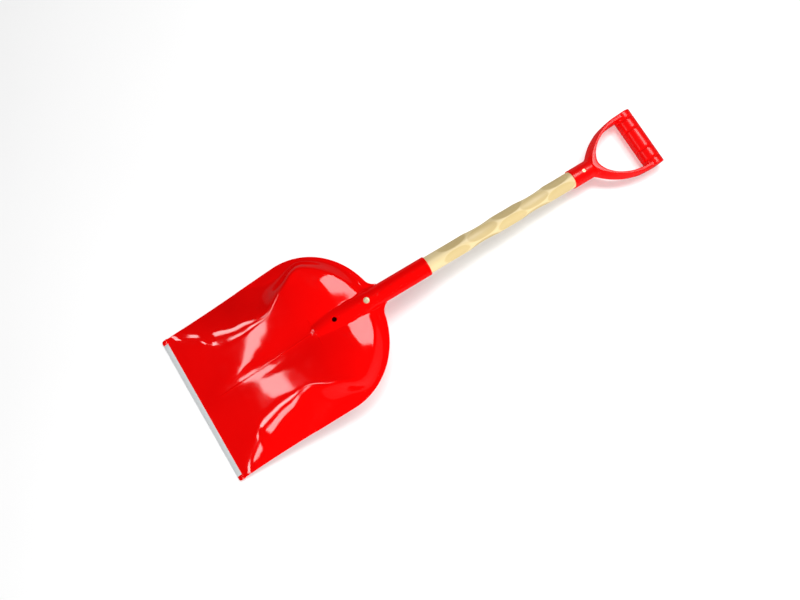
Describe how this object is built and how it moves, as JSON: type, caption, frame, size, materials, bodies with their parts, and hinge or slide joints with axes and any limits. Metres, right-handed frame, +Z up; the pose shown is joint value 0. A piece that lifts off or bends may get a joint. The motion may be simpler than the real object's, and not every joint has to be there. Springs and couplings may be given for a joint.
{
  "type": "snow shovel",
  "caption": "Snow shovel: a deep rounded plastic scoop with a metal wear strip, a wooden shaft and a D-grip, lying face down.",
  "frame": {"origin": "centre of the bounding box's bottom face, on the ground the shovel lies on", "axes": "+X from the scoop's front edge towards the grip, +Y to the shovel's left side, +Z up, away from the ground and out of the scoop's convex back"},
  "size_m": [1.0406, 0.317, 0.1124],
  "materials": {
    "red_plastic": "glossy moulded red plastic",
    "varnished_wood": "pale hardwood with a thin clear varnish",
    "aluminium": "satin folded strip",
    "zinc_steel": "yellow zinc plating"
  },
  "bodies": {
    "root": {"scoop": "red_plastic", "edge_strip": "aluminium", "shaft": "varnished_wood", "grip": "red_plastic", "blade_screw": "zinc_steel", "grip_screw": "zinc_steel"}
  },
  "joints": []
}
